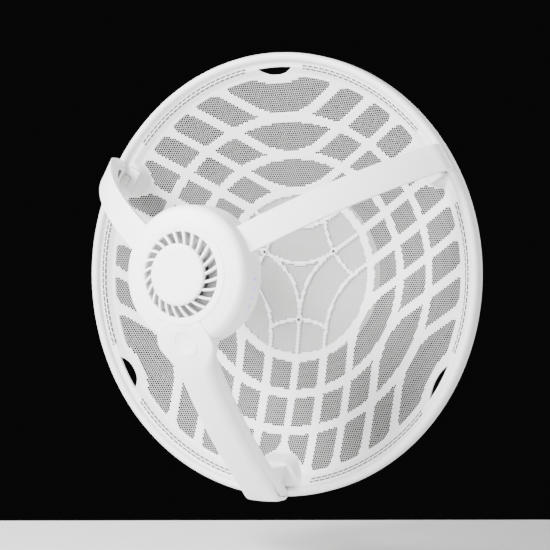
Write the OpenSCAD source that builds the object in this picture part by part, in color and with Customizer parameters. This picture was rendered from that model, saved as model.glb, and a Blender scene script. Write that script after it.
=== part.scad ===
// Outdoor wireless bridge: perforated dish, radio at the focus on three arms, adjustable pole mount.
// Origin: centre of the pole clamp. +Z runs up the pole and the dish faces -Y.

/* [Dish] */
// Outer diameter of the dish over its rim
dish_d = 400; // [396:1:404]
// Depth of the bowl behind the front plane of the rim
bowl_depth = 55; // [53:0.5:57]
// Thickness of the dish wall
wall = 2; // [1.6:0.1:2.4]
// Sideways distance from the pole axis to the dish axis
dish_x = 73; // [70:1:78]
// Distance from the pole axis forward to the rim plane
rim_forward = 146; // [144:1:150]

/* [Radio] */
// Diameter of the radio housing
hub_d = 116; // [114:0.5:117]
// Height of the housing's front shoulder over the rim plane
hub_front = 150; // [149:0.5:151]
// Number of slots in the vent ring
vents = 24; // [20:1:26]
// Diameter of the centre disc inside the vent ring
disc_d = 52; // [50:0.5:54]

/* [Arms] */
// Width of a side arm
arm_w = 25; // [24:0.5:27]
// Thickness of a side arm
arm_t = 10; // [8:0.5:11]
// Width of the lower arm and its cover
cable_arm_w = 33; // [32:0.5:35]

/* [Pole mount] */
// Diameter of the pole that the clamp grips
pole_d = 42.2; // [41.8:0.1:43]
// Height of the pole clamp
clamp_h = 44; // [38:1:50]
// Distance from the pole axis to each clamp bolt
bolt_x = 29.5; // [29:0.5:31]
// Diameter of the clamp and pivot bolts
bolt_d = 8; // [7.6:0.1:8]

/* [Hidden] */
$fn = 96;

rim_r = dish_d / 2;
hub_r = hub_d / 2;
disc_r = disc_d / 2;
pole_r = pole_d / 2;
bolt_r = bolt_d / 2;
bolt_hole_r = bolt_r + 0.25;
pivot_hole_r = bolt_r + 0.08;

// Bowl: a paraboloid out to the flange, then a raised lip.
bowl_r = 183;
lip_in = rim_r - 9;
bead_r = 3.5;
focus_k = 760;
bowl_steps = 24;
feet = [30, 150, 270];
hand_holes = [90, 210, 330];
screw_ring_r = 42.1;

// Heights along the dish axis, counted forward from the rim plane.
seam_z = 123;
gasket_t = 1.2;
plate_back = -66;
tilt_z = -98;
tilt_y = 0;
disc_front = hub_front + 6;
vent_r = 36.2;
cover_top_r = 42;
shell_t = 2.4;
hub_edge = 8;
boss_ring_r = 52.2;
cover_screw_angles = [10, 90, 170, 224, 316];
led_angles = [-4, -11.8, -19.6, -27.4];
led_z = 128;

// Centre of a circle through two points, on the side below their line.
function circle_centre(a, b, r) =
    let (chord = norm(b - a), n = [a[1] - b[1], b[0] - a[0]] / chord)
    (a + b) / 2 - n * sqrt(r * r - chord * chord / 4);

// The arms follow large circles, drawn in the plane of each arm as radius and height.
side_r = 333;
side_c = circle_centre([56, 132.3], [196, 16], side_r);
low_r = 589.5;
low_c = circle_centre([80, 129.3], [196, 20.5], low_r);
foot_in = 172;
pad_top = -5;
leg_in = 187.5;
toe_t = 3.4;
gap = 0.2;

// The lower arm is a channel under a sliding cover.
cover_out_r = low_r + 3;
cover_t = 2.4;
cover_foot_r = rim_r + 3;
cover_skirt = 8;
cover_travel = 12;
channel_r = cover_out_r - cover_t - 0.4;
channel_depth = 15;
channel_wall = 2.6;
channel_half = cable_arm_w / 2 - cover_t - 0.4;
jack_at = 86;
button_at = 112;

// Pole mount, in the pole's own axes.
clamp_half = 38;
clamp_front = 31;
clamp_open = 5.5;
swing_y = -52;
tongue_h = 24;
fork_t = 6;
fork_r = 13;
lug_half = 15;
lug_r = 28;
lock_r = 19;
ear_t = 6;
ear_r = 29;
ear_gap = 0.3;
tilt_range = 20;
jaw_back = 28;
jaw_half = 21;
washer_t = 1.6;
nut_t = 6.5;

// Height of the bowl's front face at a radius.
function bowl_z(r) = r * r / focus_k - bowl_depth;
// Points of the bowl's face between two radii, moved by an offset in height.
function bowl_pts(r0, r1, dz, n) = [for (i = [0:n]) let (r = r0 + (r1 - r0) * i / n) [r, bowl_z(r) + dz]];
// Points of an arc about a centre.
function arc_pts(c, r, a0, a1, n) =
    [for (i = [0:n]) let (a = a0 + (a1 - a0) * i / n) c + r * [cos(a), sin(a)]];
// A list in reverse order.
function reversed(list) = [for (i = [len(list) - 1:-1:0]) list[i]];
// Slope of the lower arm's curve at a radius from the dish axis.
function low_tilt(r) = asin((r - low_c[0]) / low_r);

// Places children in the dish's axes: x right, y up, z forward from the rim plane.
module dish_axes() {
    translate([dish_x, -rim_forward, 0])
        rotate([90, 0, 0])
            children();
}

// Places children on the lower arm's curve, with x along the arm and z out of its face.
module on_curve(r) {
    t = low_tilt(r);
    translate([low_c[0] + low_r * sin(t), 0, low_c[1] + low_r * cos(t)])
        rotate([0, t, 0])
            children();
}

// Turns children about the dish axis to an arm's angle.
module at_angle(a) {
    rotate([0, 0, a])
        children();
}

// A cylinder lying along x, centred on the origin.
module rod_x(r, h) {
    rotate([0, 90, 0])
        cylinder(r = r, h = h, center = true);
}

// A cylinder lying along y from y0 to y1.
module rod_y(r, y0, y1) {
    translate([0, y0, 0])
        rotate([-90, 0, 0])
            cylinder(r = r, h = y1 - y0);
}

// A hexagonal prism standing on the origin, sized across its flats.
module hex(flats, h) {
    cylinder(r = flats / sqrt(3), h = h, $fn = 6);
}

// Extrudes an arm's side profile, drawn as radius and height, to a width.
module side_extrude(w) {
    rotate([90, 0, 0])
        linear_extrude(w, center = true)
            children();
}

// A strip between two radii about a centre, for heights over the rim plane.
module curve_band(c, outer, inner) {
    difference() {
        translate(c)
            circle(r = outer, $fn = 360);
        translate(c)
            circle(r = inner, $fn = 360);
    }
}

// The space taken by the radio housing, which the arms stop against.
module housing_space() {
    translate([0, 0, seam_z - gasket_t - 12])
        cylinder(r1 = hub_r - 9, r2 = hub_r + gap, h = 9);
    translate([0, 0, seam_z - gasket_t - 3])
        cylinder(r = hub_r + gap, h = 60);
}

// Holes for the two screws of a foot, at one side distance.
module foot_holes(r, side) {
    for (s = [-side, side])
        translate([184, s, -30])
            cylinder(r = r, h = 42);
}

module dish_wall() {
    lip_c = [rim_r - bead_r, -bead_r];
    front = concat(
        bowl_pts(0, bowl_r, 0, bowl_steps),
        [[187, -6.5], [lip_in, pad_top - 0.4]],
        arc_pts(lip_c, bead_r, 180, 0, 12));
    back = [
        [rim_r, -12], [rim_r - 1.8, -12], [rim_r - 1.8, -7], [lip_in - 1, -7.6],
        [187, -8.8]];
    polygon(concat(front, back, reversed(bowl_pts(0, bowl_r, -wall, bowl_steps))));
}

module foot_pad() {
    half = 9;
    at_angle(-half)
        rotate_extrude(angle = 2 * half)
            polygon([
                [163, bowl_z(163) - 0.5], [170, pad_top - 3.5], [174, pad_top - gap],
                [lip_in + 1, pad_top - gap], [lip_in + 1, -7.6], [187, -8.8], [bowl_r, -12]]);
}

module reflector_dish() {
    color("whitesmoke")
        dish_axes()
            difference() {
                union() {
                    rotate_extrude($fn = 180)
                        dish_wall();
                    for (a = feet)
                        at_angle(a)
                            foot_pad();
                }
                for (a = hand_holes)
                    at_angle(a - 5.4)
                        rotate_extrude(angle = 10.8)
                            translate([181.5, -30])
                                square([6.5, 40]);
                for (a = feet) {
                    at_angle(a)
                        translate([screw_ring_r, 0, -80])
                            cylinder(r = 1.9, h = 60);
                    at_angle(a)
                        foot_holes(2.2, 9);
                }
            }
}

// A tongue with a round end about the tilt axis, drawn as height and distance, then extruded in x.
module tilt_tongue(half, r, x0, x1) {
    translate([x0, 0, 0])
        rotate([90, 0, 90])
            linear_extrude(x1 - x0)
                union() {
                    translate([tilt_y, tilt_z])
                        circle(r = r);
                    translate([-half, tilt_z])
                        square([2 * half, plate_back - tilt_z + 1]);
                }
}

module rear_hub_plate() {
    color("gainsboro")
        dish_axes()
            difference() {
                union() {
                    rotate_extrude()
                        polygon(concat(
                            bowl_pts(0, 76, -wall - 0.08, 12),
                            [[78, bowl_z(76) - wall - 3], [78, plate_back + 2], [76, plate_back]],
                            [[0, plate_back]]));
                    tilt_tongue(lug_r - 2, lug_r, -lug_half, lug_half);
                }
                for (a = feet)
                    at_angle(a)
                        translate([screw_ring_r, 0, -80])
                            cylinder(r = 1.7, h = 60);
                translate([0, tilt_y, tilt_z])
                    rod_x(pivot_hole_r, 80);
                translate([-1, tilt_y + lock_r, tilt_z])
                    rotate([0, 90, 0])
                        cylinder(r = 2.7, h = 40);
                translate([-52, -38, plate_back - 1])
                    cylinder(r = 2.1, h = 6);
            }
}

module hub_plate_screws() {
    color("silver")
        dish_axes()
            for (a = feet)
                at_angle(a)
                    translate([screw_ring_r, 0, 0]) {
                        translate([0, 0, plate_back + 2])
                            cylinder(r = 1.6, h = bowl_z(screw_ring_r) - plate_back - 1);
                        translate([0, 0, bowl_z(screw_ring_r) + 0.35])
                            cylinder(r = 2.9, h = 1.1);
                    }
}

// Side view of an arm's foot under a curve: a toe on the pad and a leg that reaches over the rim.
module foot_profile(c, r, leg) {
    intersection() {
        translate(c)
            circle(r = r, $fn = 360);
        union() {
            translate([foot_in, pad_top])
                square([lip_in - foot_in - 1, toe_t]);
            translate([leg, pad_top])
                square([lip_in - leg - 1, 60]);
            translate([lip_in - 1, gap])
                square([rim_r - lip_in + 1, 55]);
        }
    }
}

module side_arm(a) {
    color("whitesmoke")
        dish_axes()
            at_angle(a)
                difference() {
                    side_extrude(arm_w) {
                        intersection() {
                            curve_band(side_c, side_r, side_r - arm_t);
                            translate([40, 0])
                                square([rim_r - 40, 160]);
                        }
                        foot_profile(side_c, side_r, leg_in);
                    }
                    at_angle(-a)
                        housing_space();
                    foot_holes(1.9, 9);
                }
}

module arm_right() {
    side_arm(feet[0]);
}

module arm_left() {
    side_arm(feet[1]);
}

module arm_bottom() {
    color("whitesmoke")
        dish_axes()
            at_angle(feet[2])
                difference() {
                    union() {
                        side_extrude(cable_arm_w)
                            intersection() {
                                curve_band(low_c, cover_out_r - cover_skirt - 0.4, channel_r - channel_depth);
                                translate([40, 0])
                                    square([rim_r - 40, 160]);
                            }
                        side_extrude(2 * channel_half) {
                            intersection() {
                                curve_band(low_c, channel_r, channel_r - channel_depth);
                                cover_side(cover_t + 0.4);
                                slid_open()
                                    cover_side(cover_t + 0.4);
                            }
                            foot_profile(low_c, channel_r, foot_in);
                        }
                    }
                    side_extrude(2 * (channel_half - channel_wall))
                        intersection() {
                            curve_band(low_c, channel_r + 5, channel_r - channel_depth + channel_wall);
                            translate([40, 0])
                                square([foot_in - 42, 160]);
                        }
                    at_angle(-feet[2])
                        housing_space();
                    foot_holes(1.9, 9);
                    on_curve(foot_in - 16)
                        translate([0, 0, -40])
                            cylinder(r = 6.2, h = 40);
                }
}

module foot_screws() {
    color("silver")
        dish_axes()
            for (a = feet, s = [-9, 9])
                at_angle(a)
                    translate([184, s, 0]) {
                        translate([0, 0, -14.6])
                            cylinder(r = 1.8, h = a == feet[2] ? 23.6 : 12.4);
                        translate([0, 0, -17])
                            cylinder(r = 3.4, h = 2.6);
                    }
}

module foot_clips() {
    color("gainsboro")
        dish_axes()
            for (a = [feet[0], feet[1]])
                at_angle(a)
                    translate([179.4, -2.6, pad_top + toe_t])
                        cube([7, 9, 1.2]);
}

// Front view of the sliding cover: a flared head that narrows to the arm's width.
module cover_outline(grow) {
    neck = cable_arm_w / 2 + grow;
    polygon([
        [38, -17.5 - grow], [56, -27 - grow], [64, -27 - grow], [78, -19 - grow], [92, -neck],
        [cover_foot_r, -neck], [cover_foot_r, neck], [92, neck], [78, 19 + grow], [64, 27 + grow],
        [56, 27 + grow], [38, 17.5 + grow]]);
}

// The flared head of the cover as a solid block, grown by a gap.
module cover_head_space(grow) {
    at_angle(feet[2])
        difference() {
            linear_extrude(200)
                cover_outline(grow);
            cylinder(r = cover_top_r - grow, h = 400, center = true, $fn = 180);
        }
}

// Side view of the cover's outer face: the arm's curve, with a steeper ramp up to the housing.
module cover_side(inset) {
    difference() {
        union() {
            intersection() {
                translate(low_c)
                    circle(r = cover_out_r - inset, $fn = 360);
                translate([78, 0])
                    square([cover_foot_r - inset - 78, 160]);
            }
            polygon([
                [cover_top_r - 6, 138], [80, 120], [80, 133 - inset * 1.2], [68, 140 - inset * 1.1],
                [58, 144.4 - inset * 1.1], [48, 147.8 - inset], [cover_top_r - 6, 150.2 - inset]]);
        }
        translate([-10, -200])
            square([400, 200.5]);
    }
}

// Moves a side view of the cover to its open end, along the lower arm's curve.
module slid_open() {
    translate(low_c)
        rotate(-cover_travel / cover_out_r * 180 / PI)
            translate(-low_c)
                children();
}

module cable_cover() {
    color("whitesmoke")
        dish_axes() {
            difference() {
                intersection() {
                    cover_head_space(0);
                    at_angle(feet[2])
                        side_extrude(80)
                            cover_side(0);
                }
                at_angle(feet[2])
                    side_extrude(2 * (cable_arm_w / 2 - cover_t))
                        cover_side(cover_t);
                at_angle(feet[2])
                    intersection() {
                        side_extrude(49)
                            cover_side(cover_t);
                        translate([0, -40, 0])
                            cube([64, 80, 200]);
                    }
                at_angle(feet[2])
                    side_extrude(100)
                        intersection() {
                            translate(low_c)
                                circle(r = cover_out_r - cover_skirt, $fn = 360);
                            translate([hub_r + 0.8, -10])
                                square([200, 200]);
                        }
                at_angle(feet[2])
                    translate([56, 0, 161])
                        sphere(r = 18);
                intersection() {
                    cylinder(r = hub_r + 0.8, h = 200);
                    at_angle(feet[2])
                        side_extrude(100)
                            polygon(concat(recess_floor(0.5), [[hub_r + 2, 90], [vent_r, 90]]));
                }
            }
        }
}

// Outline of the front cover's outer face, moved inward by an inset.
function housing_outline(inset) = concat(
    [[hub_r - inset, seam_z]],
    arc_pts([hub_r - hub_edge, hub_front - hub_edge - 3.4], hub_edge - inset, 0, 80, 10),
    [[cover_top_r, hub_front - 0.6 - inset], [vent_r + 1.4, hub_front - inset]]);

// Line of the recess floor in side view, raised by an offset.
function recess_floor(dz) = [[vent_r, hub_front - 3.8 + dz], [hub_r + 2, seam_z + 5.6 + dz]];

// The recess in the front cover that takes the head of the sliding cover: its walls and floor.
module head_recess() {
    difference() {
        intersection() {
            rotate_extrude($fn = 180)
                polygon(concat([[vent_r + 2.2, seam_z + 1]], housing_outline(0.8)));
            cover_head_space(2.8);
            at_angle(feet[2])
                side_extrude(100)
                    polygon(concat(recess_floor(-2.4), [[hub_r + 2, 200], [vent_r, 200]]));
        }
        intersection() {
            cover_head_space(0.4);
            at_angle(feet[2])
                side_extrude(100)
                    polygon(concat(recess_floor(0), [[hub_r + 2, 200], [vent_r, 200]]));
        }
    }
}

module radio_front_cover() {
    color("whitesmoke")
        dish_axes()
            difference() {
                union() {
                    difference() {
                        rotate_extrude($fn = 180)
                            polygon(concat(housing_outline(0), reversed(housing_outline(shell_t))));
                        intersection() {
                            cover_head_space(0.4);
                            translate([0, 0, seam_z + 5])
                                cylinder(r = 2 * hub_r, h = 60);
                        }
                    }
                    head_recess();
                    for (a = cover_screw_angles)
                        at_angle(a)
                            translate([boss_ring_r, 0, seam_z + 0.4])
                                cylinder(r = 4, h = 14);
                }
                for (a = cover_screw_angles)
                    at_angle(a)
                        translate([boss_ring_r, 0, seam_z - 1])
                            cylinder(r = 1.6, h = 13);
                for (a = led_angles)
                    at_angle(a)
                        translate([hub_r - 2, 0, led_z])
                            rod_x(1.4, 12);
            }
}

// One slanted bar of the vent ring.
module vent_bar(a) {
    run = vent_r - disc_r;
    rise = disc_front - hub_front;
    at_angle(a)
        translate([disc_r + run / 2, 0, hub_front + rise / 2 - 2.4])
            rotate([0, atan(rise / run), 0])
                rotate([0, 0, 26])
                    cube([run + 3, 3.1, 2.6], center = true);
}

module vent_grille() {
    color("whitesmoke")
        dish_axes()
            union() {
                rotate_extrude()
                    polygon(concat(
                        [[0, disc_front]],
                        arc_pts([disc_r - 2, disc_front - 2], 2, 90, 0, 6),
                        [[disc_r, disc_front - 4.5], [0, disc_front - 4.5]]));
                rotate_extrude()
                    translate([vent_r - 0.6, hub_front - 4.5])
                        square([1.7, 4.6]);
                for (i = [0:vents - 1])
                    vent_bar((i + 0.5) * 360 / vents);
            }
}

module heat_sink() {
    fin_pitch = 6;
    color("dimgray")
        dish_axes()
            intersection() {
                translate([0, 0, 126])
                    cylinder(r = vent_r, h = 17.5);
                union() {
                    translate([0, 0, 127.5])
                        cube([100, 100, 3], center = true);
                    for (x = [-42:fin_pitch:42])
                        translate([x - 0.8, -50, 128])
                            cube([1.6, 100, 14]);
                }
            }
}

module main_board() {
    color("darkgreen")
        dish_axes()
            translate([0, 0, 121.4])
                difference() {
                    cylinder(r = 45, h = 1.6);
                    for (a = [45:90:315])
                        at_angle(a)
                            translate([40, 0, -1])
                                cylinder(r = 1.6, h = 4);
                }
}

module rf_shield() {
    color("silver")
        dish_axes()
            translate([-16, -16, 123])
                difference() {
                    cube([32, 32, 2.8]);
                    translate([0.4, 0.4, -1])
                        cube([31.2, 31.2, 3.4]);
                }
}

module antenna_module() {
    color("goldenrod")
        dish_axes()
            translate([-14, -14, 119])
                cube([28, 28, 2.4]);
}

module feed_lens() {
    color("white")
        dish_axes()
            translate([0, 0, 94])
                rotate_extrude()
                    polygon(concat([[0, 0]], arc_pts([0, 12], 12, -90, -20, 12), [[11.2, 12], [0, 12]]));
}

module radio_rear_cover() {
    low = seam_z - gasket_t;
    color("whitesmoke")
        dish_axes()
            difference() {
                rotate_extrude($fn = 180)
                    polygon([
                        [hub_r, low], [hub_r, low - 3], [hub_r - 9, low - 12], [28, low - 21], [14, low - 24],
                        [11.5, low - 24], [11.5, low - 21.6], [27, low - 18.6], [hub_r - 10.4, low - 9.6],
                        [hub_r - shell_t, low - 1.6], [hub_r - shell_t, low]]);
                for (a = cover_screw_angles)
                    at_angle(a)
                        translate([boss_ring_r, 0, low - 30]) {
                            cylinder(r = 1.7, h = 40);
                            cylinder(r = 3.1, h = 21.4);
                        }
            }
}

module cover_gasket() {
    color("dimgray")
        dish_axes()
            translate([0, 0, seam_z - gasket_t])
                difference() {
                    cylinder(r = hub_r - 0.3, h = gasket_t);
                    translate([0, 0, -1])
                        cylinder(r = hub_r - shell_t, h = gasket_t + 2);
                }
}

module cover_screws() {
    color("silver")
        dish_axes()
            for (a = cover_screw_angles)
                at_angle(a)
                    translate([boss_ring_r, 0, 0]) {
                        translate([0, 0, seam_z - gasket_t - 9])
                            cylinder(r = 1.5, h = 20);
                        translate([0, 0, seam_z - gasket_t - 11])
                            cylinder(r = 2.8, h = 2.2);
                    }
}

module led_light_pipes() {
    color("mediumslateblue")
        dish_axes()
            for (a = led_angles)
                at_angle(a)
                    translate([hub_r - 1.4, 0, led_z])
                        rod_x(1.3, 3.2);
}

module ethernet_jack() {
    color("silver")
        dish_axes()
            at_angle(feet[2])
                on_curve(jack_at)
                    translate([-9, -8, -11.9])
                        difference() {
                            cube([18, 16, 11.2]);
                            translate([6, 1.6, 1.6])
                                cube([20, 12.8, 7.6]);
                        }
}

module reset_switch() {
    color("dimgray")
        dish_axes()
            at_angle(feet[2])
                on_curve(button_at)
                    translate([0, 0, -11.8])
                        difference() {
                            translate([-3.5, -3.5, 0])
                                cube([7, 7, 5]);
                            translate([0, 0, 1.5])
                                cylinder(r = 1.75, h = 10);
                        }
}

module reset_button() {
    color("black")
        dish_axes()
            at_angle(feet[2])
                on_curve(button_at)
                    translate([0, 0, -9.2])
                        cylinder(r = 1.65, h = 5);
}

module cable_grommet() {
    color("dimgray")
        dish_axes()
            at_angle(feet[2])
                on_curve(foot_in - 16)
                    translate([0, 0, channel_r - low_r - channel_depth - 1.5])
                        difference() {
                            union() {
                                cylinder(r = 6.1, h = channel_wall + 3);
                                cylinder(r = 8, h = 1.4);
                            }
                            translate([0, 0, -1])
                                cylinder(r = 3.2, h = 12);
                        }
}

module ground_screw() {
    color("silver")
        dish_axes()
            translate([-52, -38, plate_back]) {
                translate([0, 0, -2.6])
                    cylinder(r = 4, h = 2.6);
                cylinder(r = 2, h = 4.6);
            }
}

module tilt_lock_bolt() {
    reach = lug_half + ear_gap + ear_t + ear_gap;
    color("silver")
        dish_axes()
            translate([0, tilt_y + lock_r, tilt_z])
                rotate([0, 90, 0]) {
                    cylinder(r = 2.65, h = reach);
                    translate([0, 0, reach])
                        cylinder(r = 7, h = 1.4);
                    translate([0, 0, reach + 1.4])
                        cylinder(r = 4.6, h = 5);
                }
}

// A curved slot about the tilt axis, cut through along x.
module tilt_slot(half_w) {
    spread = tilt_range + 1.5;
    translate([lug_half, tilt_y, tilt_z])
        rotate([90, 0, 90])
            linear_extrude(20)
                union() {
                    intersection() {
                        difference() {
                            circle(r = lock_r + half_w);
                            circle(r = lock_r - half_w);
                        }
                        polygon([[0, 0], 60 * [cos(spread), -sin(spread)], 60 * [cos(spread), sin(spread)]]);
                    }
                    for (a = [-spread, spread])
                        translate(lock_r * [cos(a), sin(a)])
                            circle(r = half_w);
                }
}

module swivel_bracket() {
    ear_x = lug_half + ear_gap;
    back = tilt_z - lug_r - 1;
    fork_z = tongue_h / 2 + ear_gap;
    color("gainsboro") {
        dish_axes()
            difference() {
                union() {
                    for (s = [0, 1])
                        mirror([s, 0, 0])
                            translate([ear_x, 0, 0])
                                rotate([90, 0, 90])
                                    linear_extrude(ear_t)
                                        union() {
                                            translate([tilt_y, tilt_z])
                                                circle(r = ear_r);
                                            translate([-16, back - ear_t])
                                                square([32, 20]);
                                        }
                    translate([-ear_x - ear_t, -16, back - ear_t])
                        cube([2 * (ear_x + ear_t), 32, ear_t]);
                }
                translate([0, tilt_y, tilt_z])
                    rod_x(bolt_hole_r, 80);
                tilt_slot(3);
            }
        difference() {
            for (z = [fork_z, -fork_z - fork_t])
                translate([0, swing_y, z])
                    linear_extrude(fork_t)
                        union() {
                            circle(r = fork_r);
                            translate([0, -fork_r + 1])
                                square([dish_x - ear_x - ear_t / 2, 2 * fork_r - 2]);
                        }
            translate([0, swing_y, 0])
                cylinder(r = pivot_hole_r, h = 80, center = true);
        }
    }
}

module tilt_bolt() {
    reach = lug_half + ear_gap + ear_t;
    color("silver")
        dish_axes()
            translate([0, tilt_y, tilt_z]) {
                rod_x(bolt_r, 2 * reach + 20);
                translate([reach, 0, 0])
                    rotate([0, 90, 0])
                        cylinder(r = 7.5, h = 1.6);
                translate([reach + 1.6, 0, 0])
                    rotate([0, 90, 0])
                        hex(13, 5.3);
            }
}

module tilt_nut() {
    reach = lug_half + ear_gap + ear_t;
    color("silver")
        dish_axes()
            translate([-reach - nut_t, tilt_y, tilt_z])
                rotate([0, 90, 0])
                    difference() {
                        hex(13, nut_t);
                        translate([0, 0, -1])
                            cylinder(r = bolt_r + 0.05, h = 12);
                    }
}

module pole_bracket() {
    color("gainsboro")
        difference() {
            union() {
                translate([-clamp_half, -clamp_front, -clamp_h / 2])
                    cube([2 * clamp_half, clamp_front - clamp_open, clamp_h]);
                translate([0, swing_y, -tongue_h / 2])
                    cylinder(r = fork_r, h = tongue_h);
                translate([-fork_r, swing_y, -tongue_h / 2])
                    cube([2 * fork_r, -swing_y - clamp_front + 1, tongue_h]);
            }
            cylinder(r = pole_r, h = 100, center = true, $fn = 180);
            for (s = [-1, 1])
                translate([s * bolt_x, 0, 0])
                    rod_y(bolt_hole_r, -60, 60);
            translate([0, swing_y, 0])
                cylinder(r = bolt_hole_r, h = 80, center = true);
            for (s = [-1, 1])
                for (z = [-clamp_h / 2 - 1, clamp_h / 2 - 9])
                    translate([s * (clamp_half - 5), -clamp_front + 15, z])
                        translate([-6, -7, 0])
                            cube([12, 14, 10]);
        }
}

module swing_bolt() {
    reach = tongue_h / 2 + ear_gap + fork_t;
    color("silver")
        translate([0, swing_y, 0]) {
            translate([0, 0, -reach - 10])
                cylinder(r = bolt_r, h = 2 * reach + 10);
            translate([0, 0, reach])
                cylinder(r = 7.5, h = 1.6);
            translate([0, 0, reach + 1.6])
                hex(13, 5.3);
        }
}

module swing_nut() {
    reach = tongue_h / 2 + ear_gap + fork_t;
    color("silver")
        translate([0, swing_y, -reach - nut_t])
            difference() {
                hex(13, nut_t);
                translate([0, 0, -1])
                    cylinder(r = bolt_r + 0.05, h = 12);
            }
}

module clamp_bolts() {
    color("silver")
        for (s = [-1, 1])
            translate([s * bolt_x, 0, 0]) {
                rod_y(bolt_r, -clamp_front - 1, 62);
                rod_y(7.4, -clamp_front - 3.6, -clamp_front);
            }
}

module clamp_jaw() {
    color("gainsboro")
        difference() {
            union() {
                translate([-clamp_half, clamp_open, -clamp_h / 2])
                    cube([2 * clamp_half, 14 - clamp_open, clamp_h]);
                translate([-jaw_half, clamp_open, -clamp_h / 2])
                    cube([2 * jaw_half, jaw_back - clamp_open, clamp_h]);
            }
            cylinder(r = pole_r, h = 100, center = true, $fn = 180);
            for (s = [-1, 1])
                translate([s * bolt_x, 0, 0])
                    rod_y(bolt_hole_r, -60, 60);
            for (s = [-1, 1])
                translate([s * jaw_half, jaw_back, 0])
                    rotate([0, 0, 45])
                        cube([9, 9, 100], center = true);
        }
}

module clamp_washers() {
    color("silver")
        for (s = [-1, 1])
            translate([s * bolt_x, 14, 0])
                difference() {
                    rod_y(8, 0, washer_t);
                    rod_y(bolt_r + 0.2, -1, 10);
                }
}

module clamp_nuts() {
    color("silver")
        for (s = [-1, 1])
            translate([s * bolt_x, 14 + washer_t, 0])
                difference() {
                    rotate([-90, 0, 0])
                        hex(13, nut_t);
                    rod_y(bolt_r + 0.05, -1, 20);
                }
}

reflector_dish();
rear_hub_plate();
hub_plate_screws();
arm_left();
arm_right();
arm_bottom();
foot_screws();
foot_clips();
radio_front_cover();
vent_grille();
heat_sink();
main_board();
rf_shield();
antenna_module();
feed_lens();
radio_rear_cover();
cover_gasket();
cover_screws();
led_light_pipes();
ethernet_jack();
reset_switch();
cable_grommet();
ground_screw();
tilt_lock_bolt();
cable_cover();
reset_button();
swivel_bracket();
tilt_bolt();
tilt_nut();
pole_bracket();
swing_bolt();
swing_nut();
clamp_bolts();
clamp_jaw();
clamp_washers();
clamp_nuts();
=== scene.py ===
import math

import bmesh
import bpy
import numpy as np
from mathutils import Matrix, Vector


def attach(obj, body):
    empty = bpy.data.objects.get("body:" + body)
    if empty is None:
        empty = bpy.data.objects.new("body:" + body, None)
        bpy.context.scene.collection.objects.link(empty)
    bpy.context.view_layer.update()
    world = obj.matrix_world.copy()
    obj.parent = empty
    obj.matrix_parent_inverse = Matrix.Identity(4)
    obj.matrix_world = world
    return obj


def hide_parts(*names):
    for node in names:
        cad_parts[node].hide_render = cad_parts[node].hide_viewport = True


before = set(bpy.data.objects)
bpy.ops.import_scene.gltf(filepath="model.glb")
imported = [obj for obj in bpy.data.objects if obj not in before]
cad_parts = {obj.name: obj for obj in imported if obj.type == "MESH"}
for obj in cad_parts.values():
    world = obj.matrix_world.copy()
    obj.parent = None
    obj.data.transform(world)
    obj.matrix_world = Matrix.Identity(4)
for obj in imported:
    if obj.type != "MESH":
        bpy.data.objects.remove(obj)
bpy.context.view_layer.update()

MM = 0.001

# ---------------------------------------------------------------- sizes, in millimetres and degrees
# dish: its axis lies along the frame's Y, and its rim plane is level with RIM_Y
DISH_X = 73.0
RIM_Y = -146.0
RIM_R = 200.0
FOCUS_K = 760.0  # bowl height = radius squared / FOCUS_K - BOWL_DEPTH
BOWL_DEPTH = 55.0
HOLE_AXES = (90, 210, 330)  # directions of the three D-shaped holes
SCREW_RING_R = 42.1  # where the three screws sit

# pierced sheet and its solid strips
PITCH = 2.1  # from one small hole to the next
HOLE_R = 1.05
SHEET_T = 0.4
SHEET_R = 181.0
SECTORS = 8  # pieces that the sheet is made in
RIB_RISE = 0.45  # height of the solid strips over the sheet
RIB_EDGE = 1.4  # width of a strip's sloping edge
RIB_STEP = 28.8  # from one slanted strip to the next
STRIP_HALF = 3.9  # half of a strip's width
FINE_HALF = 1.4  # the same for the fine strips within the first ring
RINGS = (77, 110, 143)
FILLET_R = 67.0  # bend where two slanted strips meet
BOW_R = 63.0  # fine bows through the screws
BOSS_R = 3.6  # solid disc round a screw
LOBE_AT = 237.0  # centre and radius of the edge round a D-shaped hole
LOBE_R = 64.0
FIELD_R = 182.0  # outer edge of the pierced field
CORNER_R = 9.0  # rounding of its corners

# two rows of pressed dashes in the flange
DASH_ROWS = (186.6, 189.0)
DASH_HALF = 0.62
DASH_STEP = 1.75  # degrees from one dash to the next
DASH_DEPTH = 2.0

# arms: right, left and lower foot, and the circles that the arms follow in their side view
FEET = (30, 150, 270)
SIDE_R = 333.0
SIDE_ENDS = ((56.0, 132.3), (196.0, 16.0))
LOW_R = 589.5
LOW_ENDS = ((80.0, 129.3), (196.0, 20.5))
ARM_T = 10.0  # thickness of a side arm
SIDE_HALF = 12.4  # half of its width
TAPER = 5.0  # how much narrower its underside is on each side
FOOT_IN = 172.0  # inner end of the toe
LEG_IN = 187.5  # inner face of the leg
TOE_TOP = -1.7

# foot pads
PAD_TOP = -5.2  # height of the pads' flat top
PAD_AT = 184.5  # centre and radius of a round pad
PAD_R = 18.5
SWEEP_RISE = 12.0  # climb of the bottom pad towards the lower arm

# cable cover on the lower arm
COVER_OUT = 3.0  # how far the cover's face lies outside the lower arm's circle
COVER_HALF = 16.5  # half of its width
COVER_T = 1.6
COVER_SHOULDER = 8.0  # radius of its long edges
COVER_SKIRT = 8.2  # depth of its sides
COVER_TOP_R = 42.0  # arc that its head ends on
DIMPLE_AT = 55.9
DIMPLE_Z = 144.85
DIMPLE_R = 9.0
DIMPLE_TILT = 23.5

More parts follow.
